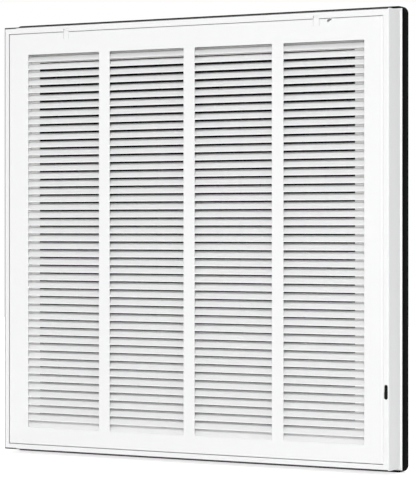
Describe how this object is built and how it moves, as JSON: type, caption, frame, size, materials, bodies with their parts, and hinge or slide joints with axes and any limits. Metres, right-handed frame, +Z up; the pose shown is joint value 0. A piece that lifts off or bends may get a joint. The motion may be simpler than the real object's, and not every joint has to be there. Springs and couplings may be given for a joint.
{
  "type": "return air filter grille",
  "caption": "Wall return air grille: shallow square steel case with a top-hung louvred door, slide latch, rear seal and a flat pleated filter behind slanted blades.",
  "frame": {"origin": "centre of the wall plane: the back of the seal, at the middle of the four wall screw holes", "axes": "+Z up along the wall, +Y into the wall (the louvred front looks along -Y), +X to the right seen from the front"},
  "size_m": [0.4688, 0.0395, 0.4688],
  "materials": {
    "white_enamel": "semi-gloss",
    "black_foam": "matte",
    "filter_board": "matte",
    "filter_pleats": "matte",
    "black_plastic": "satin"
  },
  "bodies": {
    "case": {"outer_case": "white_enamel", "wall_seal": "black_foam", "filter_track": "white_enamel", "filter_frame": "filter_board", "filter_media": "filter_pleats", "latch_guide": "white_enamel"},
    "latch": {"latch_slider": "black_plastic"},
    "door": {"door_face": "white_enamel", "blade_rack_left": "white_enamel", "blade_rack_right": "white_enamel", "blade_01": "white_enamel", "blade_02": "white_enamel", "blade_03": "white_enamel", "blade_04": "white_enamel", "blade_05": "white_enamel", "blade_06": "white_enamel", "blade_07": "white_enamel", "blade_08": "white_enamel", "blade_09": "white_enamel", "blade_10": "white_enamel", "blade_11": "white_enamel", "blade_12": "white_enamel", "blade_13": "white_enamel", "blade_14": "white_enamel", "blade_15": "white_enamel", "blade_16": "white_enamel", "blade_17": "white_enamel", "blade_18": "white_enamel", "blade_19": "white_enamel", "blade_20": "white_enamel", "blade_21": "white_enamel", "blade_22": "white_enamel", "blade_23": "white_enamel", "blade_24": "white_enamel", "blade_25": "white_enamel", "blade_26": "white_enamel", "blade_27": "white_enamel", "blade_28": "white_enamel", "blade_29": "white_enamel", "blade_30": "white_enamel", "blade_31": "white_enamel", "blade_32": "white_enamel", "blade_33": "white_enamel", "blade_34": "white_enamel", "blade_35": "white_enamel", "blade_36": "white_enamel", "blade_37": "white_enamel", "blade_38": "white_enamel", "blade_39": "white_enamel", "blade_40": "white_enamel", "blade_41": "white_enamel", "blade_42": "white_enamel", "blade_43": "white_enamel", "blade_44": "white_enamel", "blade_45": "white_enamel", "blade_46": "white_enamel", "blade_47": "white_enamel", "blade_48": "white_enamel"}
  },
  "joints": [
    {"name": "door_hinge", "type": "hinge", "parent": "case", "child": "door", "pos_m": [0, -0.0387, 0.2227], "axis": [-1, 0, 0], "range_deg": [0, 90]},
    {"name": "latch_slide", "type": "slide", "parent": "case", "child": "latch", "axis": [0, 0, 1], "range_m": [0, 0.006]}
  ]
}
